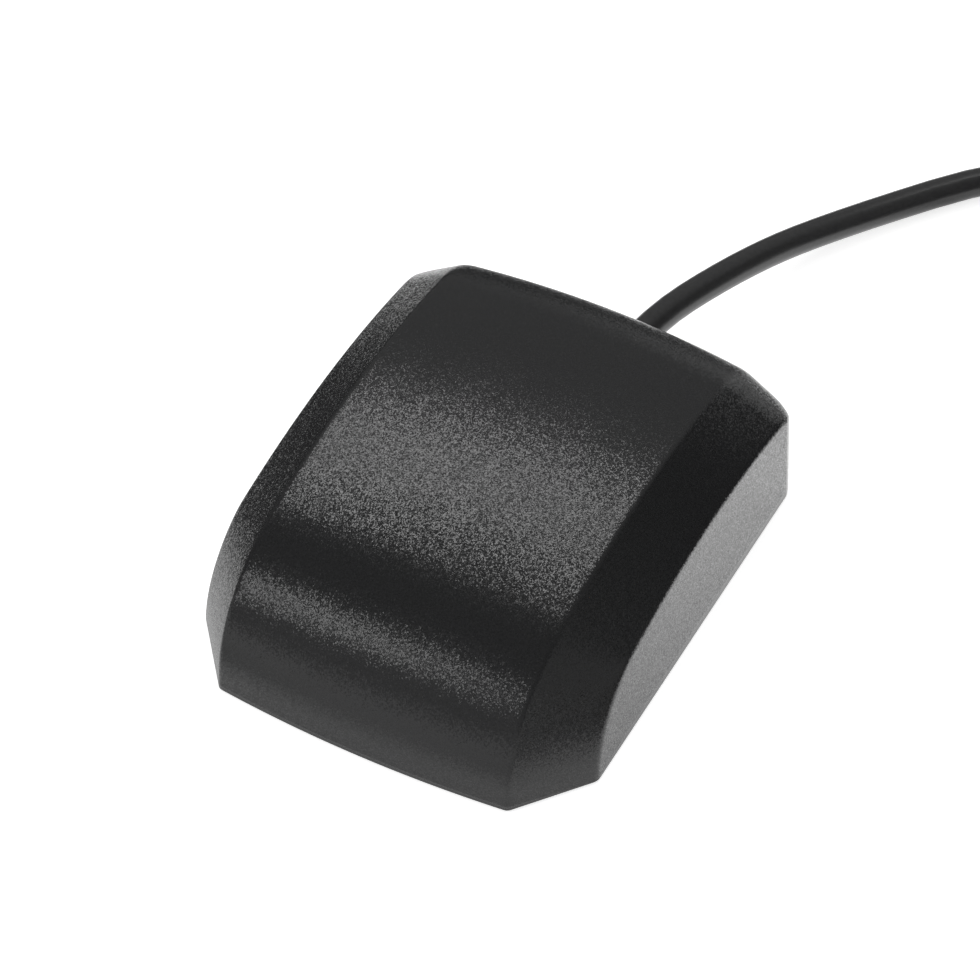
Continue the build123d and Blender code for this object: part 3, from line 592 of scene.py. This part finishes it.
# Reflected brightness of the room from the front (0) over the top to the rear (1)
ROOM_LEVELS = [
    (0.0, 0.45), (0.2, 0.2), (0.35, 0.06), (0.5, 0.06), (0.8, 0.32), (0.965, 0.3), (0.985, 0.7),
]
# Soft boxes: place, the two sides' lengths, radiance
OVER_REAR = ((-0.33, 0.39, 0.915), (0.9, 0.12), 8.6)
FRONT_LEFT = ((-0.44, -0.71, 0.60), (0.72, 0.11), 6.2)


def math(tree, operation, *values):
    node = tree.nodes.new("ShaderNodeMath")
    node.operation = operation
    for socket, value in zip(node.inputs, values):
        if isinstance(value, (int, float)):
            socket.default_value = value
        else:
            tree.links.new(value, socket)
    return node.outputs[0]


def map_range(tree, source, low, high, at_low, at_high):
    node = add_node(tree, "ShaderNodeMapRange", interpolation_type="SMOOTHSTEP")
    tree.links.new(source, node.inputs["Value"])
    for name, value in (("From Min", low), ("From Max", high), ("To Min", at_low), ("To Max", at_high)):
        node.inputs[name].default_value = value
    return node.outputs["Result"]


def floor_patch(tree, place, centre, edge, end, inside, outside):
    away = add_node(tree, "ShaderNodeVectorMath", operation="DISTANCE")
    tree.links.new(place, away.inputs[0])
    away.inputs[1].default_value = centre
    return map_range(tree, away.outputs["Value"], edge, end, inside, outside)


def make_floor():
    bpy.ops.mesh.primitive_circle_add(
        vertices=FLOOR_CORNERS, radius=FLOOR_RADIUS, fill_type="NGON", location=(0, 0, -FLOOR_DROP)
    )
    floor = bpy.context.object
    floor.name = "floor"
    material = bpy.data.materials.new("floor_paper")
    material.use_nodes = True
    tree = material.node_tree
    tree.nodes.clear()
    out = tree.nodes.new("ShaderNodeOutputMaterial")
    paper = tree.nodes.new("ShaderNodeBsdfDiffuse")
    glow = tree.nodes.new("ShaderNodeEmission")
    both = tree.nodes.new("ShaderNodeAddShader")
    path = tree.nodes.new("ShaderNodeLightPath")
    place = tree.nodes.new("ShaderNodeTexCoord").outputs["Object"]
    patch = add_node(tree, "ShaderNodeMapping", Location=BRIGHT_SHIFT, Scale=BRIGHT_SHAPE)
    tree.links.new(place, patch.inputs["Vector"])
    reach = add_node(tree, "ShaderNodeVectorMath", operation="LENGTH")
    tree.links.new(patch.outputs["Vector"], reach.inputs[0])
    fade = map_range(tree, reach.outputs["Value"], BRIGHT_REACH, DARK_REACH, 1, FAR_FLOOR)
    for spot in (DARK_LEFT, DARK_REAR):
        fade = math(tree, "MULTIPLY", fade, floor_patch(tree, place, *spot))
    split = tree.nodes.new("ShaderNodeSeparateXYZ")
    tree.links.new(place, split.inputs[0])
    across = math(tree, "MULTIPLY_ADD", split.outputs["X"], FLOOR_TILT, 1.0)
    along = map_range(tree, split.outputs["Y"], *FRONT_FADE)
    front = map_range(tree, split.outputs["Y"], *FAR_FRONT)
    level = math(tree, "MULTIPLY", math(tree, "MULTIPLY", fade, across), along)
    level = math(tree, "MAXIMUM", level, front)
    level = math(tree, "MAXIMUM", level, floor_patch(tree, place, *BRIGHT_CORNER))
    dimmed = math(tree, "MULTIPLY", math(tree, "SUBTRACT", 1.0, level), path.outputs["Is Glossy Ray"])
    kept = math(tree, "SUBTRACT", 1.0, dimmed)
    seen = math(tree, "MAXIMUM", path.outputs["Is Camera Ray"], path.outputs["Is Transmission Ray"])
    reflected = math(tree, "MULTIPLY", path.outputs["Is Glossy Ray"], FLOOR_GLOW_REFLECTED)
    glowing = math(tree, "MULTIPLY_ADD", seen, FLOOR_GLOW, reflected)
    strength = math(tree, "MULTIPLY", glowing, kept)
    white = math(tree, "MULTIPLY", kept, FLOOR_WHITE)
    tree.links.new(white, paper.inputs["Color"])
    tree.links.new(strength, glow.inputs["Strength"])
    tree.links.new(paper.outputs[0], both.inputs[0])
    tree.links.new(glow.outputs[0], both.inputs[1])
    tree.links.new(both.outputs[0], out.inputs["Surface"])
    floor.data.materials.append(material)


# A soft box that faces the object, with its first side along x as nearly as that allows
def add_light(name, place, size, radiance):
    data = bpy.data.lights.new(name, "AREA")
    data.shape = "RECTANGLE"
    data.size, data.size_y = size
    data.energy = radiance * pi * size[0] * size[1]
    light = bpy.data.objects.new(name, data)
    bpy.context.scene.collection.objects.link(light)
    outward = Vector(place).normalized()
    along = Vector((1, 0, 0)) - outward * outward.x
    along.normalize()
    turn = Matrix((along, outward.cross(along), outward)).transposed()
    light.matrix_world = Matrix.Translation(place) @ turn.to_4x4()


def make_lights():
    add_light("over_rear", *OVER_REAR)
    add_light("front_left", *FRONT_LEFT)


def toward(tree, place, direction, outer, inner, level):
    node = add_node(tree, "ShaderNodeVectorMath", operation="DOT_PRODUCT")
    tree.links.new(place, node.inputs[0])
    node.inputs[1].default_value = direction
    return map_range(tree, node.outputs["Value"], outer, inner, 0, level)


# White behind the object, an even soft light on it, and a dim surrounding in its reflections
def make_world():
    world = bpy.data.worlds.new("studio")
    bpy.context.scene.world = world
    world.use_nodes = True
    tree = world.node_tree
    tree.nodes.clear()
    out = tree.nodes.new("ShaderNodeOutputWorld")
    background = tree.nodes.new("ShaderNodeBackground")
    path = tree.nodes.new("ShaderNodeLightPath")
    place = tree.nodes.new("ShaderNodeTexCoord").outputs["Generated"]
    split = tree.nodes.new("ShaderNodeSeparateXYZ")
    tree.links.new(place, split.inputs[0])
    along = math(tree, "MULTIPLY_ADD", split.outputs["Y"], 0.5, 0.5)
    room = ramp(tree, along, ROOM_LEVELS)
    for spot in (BRIGHT_SIDE, BRIGHT_REAR):
        room = math(tree, "ADD", room, toward(tree, place, *spot))
    dark = toward(tree, place, *DARK_SIDE)
    dim = math(tree, "MULTIPLY", room, math(tree, "SUBTRACT", 1.0, dark))
    glossy = path.outputs["Is Glossy Ray"]
    soft = math(tree, "MULTIPLY", math(tree, "SUBTRACT", 1.0, glossy), AMBIENT)
    level = math(tree, "MULTIPLY_ADD", dim, glossy, soft)
    level = math(tree, "MAXIMUM", level, path.outputs["Is Camera Ray"])
    tree.links.new(level, background.inputs["Strength"])
    tree.links.new(background.outputs[0], out.inputs["Surface"])


make_camera()
materials = make_materials()
make_cover(materials["housing_plastic"])
cord = make_cord(materials["cable_jacket"])
make_floor()
make_lights()
make_world()
bpy.context.scene.view_settings.view_transform = "Standard"
